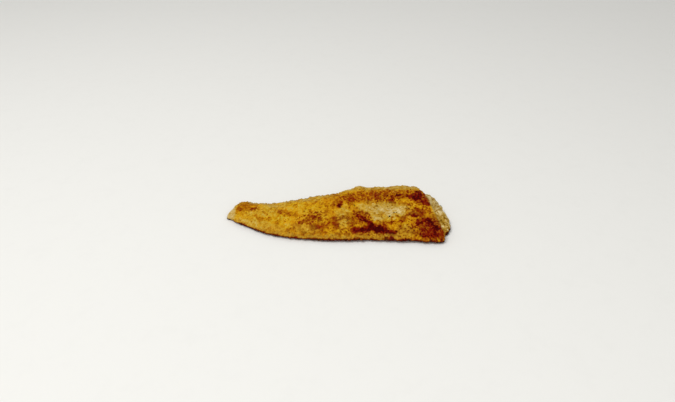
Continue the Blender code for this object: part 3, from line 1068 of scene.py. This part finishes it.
# flecks of pepper and herb, some at their places, told as x, y and half width in mm, and more at random
flecks = {
    "pepperPlaces": (
        (53.5, -15.5, 1.1),
        (58.5, -9.8, 0.9),
        (61.0, -8.6, 0.8),
        (18.0, -2.0, 0.6),
        (9.5, -22.5, 0.6),
        (83.0, -31.0, 0.7),
        (87.0, -30.0, 0.6),
        (-12.0, -9.0, 0.5),
        (-20.0, -12.0, 0.6),
    ),
    "pepperExtra": 16,
    "pepperSize": (0.25, 0.5),
    "pepperColours": ((32, 17, 7), (78, 44, 16)),
    "pepperRough": 0.55,
    "herbPlaces": (
        (10.5, -21.5, 0.7),
        (17.5, -0.8, 0.7),
        (61.5, -9.0, 0.55),
        (-34.0, -10.0, 0.6),
        (109.5, 9.0, 0.9),
    ),
    "herbExtra": 6,
    "herbSize": (0.3, 0.6),
    "herbColours": ((44, 44, 8), (100, 92, 20)),
    "herbRough": 0.6,
    "uneven": 0.3,
    "lift": 0.15,          # share of its half width that a fleck's middle stands above the crust
    "gloss": 0.1,
    "mottleScale": 1500.0,
    "mottle": 0.3,
    "roughSpread": 0.2,
    "grainScale": 2200.0,
    "bump": 0.3,
    "bumpDepth": 0.0001,   # metres
    "seed": 23,
}


def surfaceAt(x, y):
    hit, place, normal, _ = fillet.ray_cast(Vector((x * mm, y * mm, 0.05)), Vector((0, 0, -1)))
    return (place, normal) if hit else (None, None)


def fleckSpots(places, extra, sizes, rng):
    spots = []
    chosen = list(places)
    while len(chosen) < len(places) + extra:
        x = rng.uniform(-100, 95)
        y = rng.uniform(-40, 28)
        chosen.append((x, y, rng.uniform(*sizes)))
    for x, y, size in chosen:
        place, normal = surfaceAt(x, y)
        if place is None or normal.z < 0.6:
            continue
        spots.append((place + normal * size * flecks["lift"] * mm, normal, size * mm, rng.random(), 0.0))
    return spots


def fleckMaterial(name, colours, rough):
    material, tree, shader = newMaterial(name)
    mottle = placeGroup(tree, fryMottle, scale=flecks["mottleScale"], amount=flecks["mottle"])
    share = mathNode(tree, "ADD", pointValue(tree, "brown"), mottle.outputs["Mottle"])
    colour = rampNode(tree, share, ((0.0, colours[0]), (1.0, colours[1])))
    tree.links.new(colour, shader.inputs["Base Color"])
    uneven = rangeNode(tree, share, rough, rough + flecks["roughSpread"])
    tree.links.new(uneven, shader.inputs["Roughness"])
    shader.inputs["Specular IOR Level"].default_value = flecks["gloss"]
    grain = placeGroup(tree, crustGrain, scale=flecks["grainScale"])
    bumpFrom(tree, shader, grain.outputs["Height"], flecks["bump"], flecks["bumpDepth"])
    return material


def addFlecks(name, kind, materialName, rng):
    spots = fleckSpots(flecks[kind + "Places"], flecks[kind + "Extra"], flecks[kind + "Size"], rng)
    piece = scatter(name, spots, rng, flecks["uneven"])
    material = fleckMaterial(materialName, flecks[kind + "Colours"], flecks[kind + "Rough"])
    piece.data.materials.append(material)
    return piece


fleckRandom = random.Random(flecks["seed"])
pepper = addFlecks("pepperFlecks", "pepper", "pepperHusk", fleckRandom)
herb = addFlecks("herbFlecks", "herb", "driedHerb", fleckRandom)
for piece in (pepper, herb):
    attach(piece, "root")
print("flecks made")


# pale table top and soft studio light
studio = {
    "floorColours": ((229, 228, 223), (225, 224, 219)),
    "floorMottleScale": 40.0,
    "floorMottle": 0.5,
    "floorRough": 0.6,
    "floorGloss": 0.2,
    "floorSize": 6.0,   # metres from its middle to its edge
    "floorDrop": 0.05,  # mm below the fillet, so that the two faces don't meet
    "worldLight": 0.60,
    "keyPower": 15.0,
    "keySize": 0.8,
    "keyPlace": (-0.55, -0.45, 1.50),
    "fillPower": 1.0,
    "fillSize": 0.8,
    "fillPlace": (0.5, -0.8, 0.7),
}


def addFloor():
    mesh = bpy.data.meshes.new("tableTop")
    shape = bmesh.new()
    bmesh.ops.create_grid(shape, x_segments=2, y_segments=2, size=studio["floorSize"])
    shape.to_mesh(mesh)
    shape.free()
    floor = bpy.data.objects.new("tableTop", mesh)
    floor.location.z = -studio["floorDrop"] * mm
    scene.collection.objects.link(floor)
    material, tree, shader = newMaterial("paleTable")
    grain = placeGroup(tree, fryMottle, scale=studio["floorMottleScale"], amount=studio["floorMottle"])
    first, second = studio["floorColours"]
    colour = rampNode(tree, grain.outputs["Mottle"], ((0.0, first), (1.0, second)))
    tree.links.new(colour, shader.inputs["Base Color"])
    shader.inputs["Roughness"].default_value = studio["floorRough"]
    shader.inputs["Specular IOR Level"].default_value = studio["floorGloss"]
    floor.data.materials.append(material)


def addLight(name, place, size, power):
    data = bpy.data.lights.new(name, "AREA")
    data.shape = "DISK"
    data.size = size
    data.energy = power
    lamp = bpy.data.objects.new(name, data)
    scene.collection.objects.link(lamp)
    aim = Vector((0, 0, 0)) - Vector(place)
    lamp.matrix_world = Matrix.Translation(place) @ aim.to_track_quat("-Z", "Y").to_matrix().to_4x4()


def addWorld():
    world = bpy.data.worlds.new("softRoom")
    world.use_nodes = True
    back = world.node_tree.nodes["Background"]
    back.inputs["Color"].default_value = (1.0, 1.0, 1.0, 1.0)
    back.inputs["Strength"].default_value = studio["worldLight"]
    scene.world = world


addFloor()
addWorld()
addLight("keyLight", studio["keyPlace"], studio["keySize"], studio["keyPower"])
addLight("fillLight", studio["fillPlace"], studio["fillSize"], studio["fillPower"])
scene.view_settings.view_transform = "Standard"
scene.view_settings.look = "None"
print("studio made")
